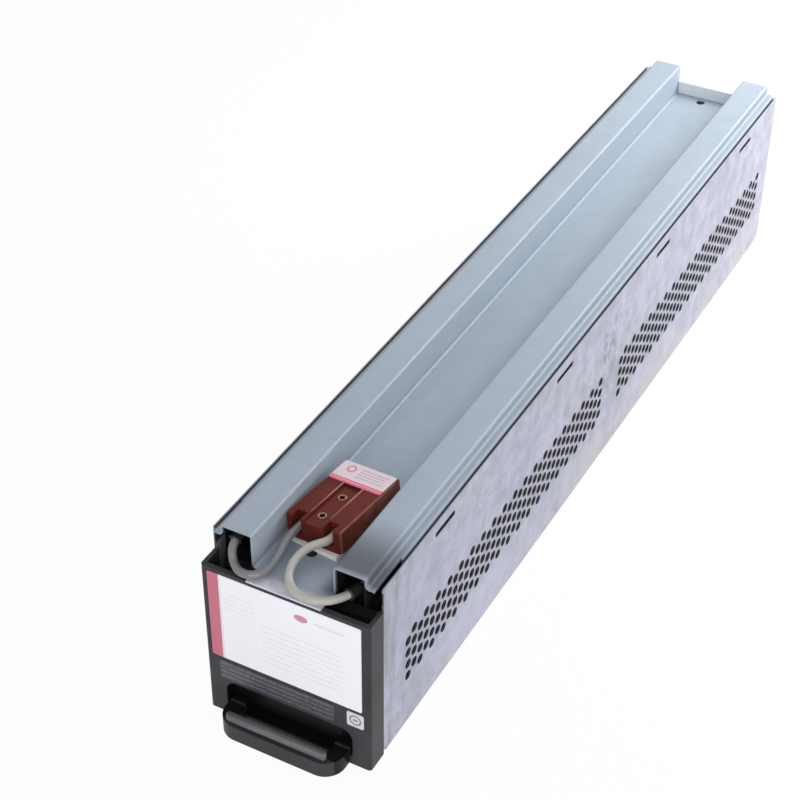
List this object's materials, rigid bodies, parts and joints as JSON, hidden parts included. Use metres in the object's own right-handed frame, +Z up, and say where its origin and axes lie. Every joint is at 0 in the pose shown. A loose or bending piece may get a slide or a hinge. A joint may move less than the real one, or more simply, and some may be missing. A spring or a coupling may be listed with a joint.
{
  "type": "ups battery cartridge",
  "caption": "Long folded-steel battery module with perforated sides, a railed cover, a moulded front with a pull handle and a two-pole connector lying between the rails.",
  "frame": {"origin": "on the ground under the middle of the module, its handle included", "axes": "+Z up, +Y from the front with the handle to the back, +X to the right as seen from the front"},
  "size_m": [0.1, 0.612, 0.126],
  "materials": {
    "galvanised_steel": "galvanised sheet, dull",
    "dark_plastic": "fine moulded texture",
    "zinc_screws": "zinc plated",
    "tinned_brass": "tin plated",
    "receptacle_nylon": "translucent nylon cover",
    "liner_sheet": "smooth sheet",
    "black_foam": "closed-cell foam",
    "black_sheet": "smooth sheet",
    "maroon_plastic": "moulded, half matt",
    "silvered_copper": "silver plated",
    "spring_steel": "bright strip",
    "white_foam": "foam tape",
    "seal_paper": "gloss paper, rose stripe",
    "label_paper": "gloss paper, rose stripe",
    "print_film": "dark film with grey lines",
    "sticker_paper": "paper",
    "light_jacket": "smooth PVC",
    "black_jacket": "smooth PVC",
    "battery_case": "moulded ABS"
  },
  "bodies": {
    "root": {"back_foam": "black_foam", "base_liner": "liner_sheet", "battery_1": "battery_case", "battery_2": "battery_case", "battery_3": "battery_case", "battery_4": "battery_case", "battery_5": "battery_case", "battery_6": "battery_case", "battery_7": "battery_case", "battery_8": "battery_case", "battery_tabs": "tinned_brass", "bezel_screws": "zinc_screws", "check_sticker": "sticker_paper", "connector_housing": "maroon_plastic", "connector_label": "seal_paper", "connector_pad": "white_foam", "contact_left": "silvered_copper", "contact_right": "silvered_copper", "contact_spring_left": "spring_steel", "contact_spring_right": "spring_steel", "front_bezel": "dark_plastic", "front_foam": "black_foam", "front_label": "label_paper", "jumper_1": "black_jacket", "jumper_2": "black_jacket", "jumper_3": "black_jacket", "jumper_4": "black_jacket", "jumper_5": "black_jacket", "jumper_6": "black_jacket", "jumper_7": "black_jacket", "lead_black": "black_jacket", "lead_light": "light_jacket", "print_label": "print_film", "rail_insulator_left": "black_sheet", "rail_insulator_right": "black_sheet", "side_foam_high_left": "black_foam", "side_foam_high_right": "black_foam", "side_foam_low_left": "black_foam", "side_foam_low_right": "black_foam", "tab_receptacles": "receptacle_nylon", "top_cover": "galvanised_steel", "top_pad": "black_foam", "tray": "galvanised_steel"}
  },
  "joints": []
}
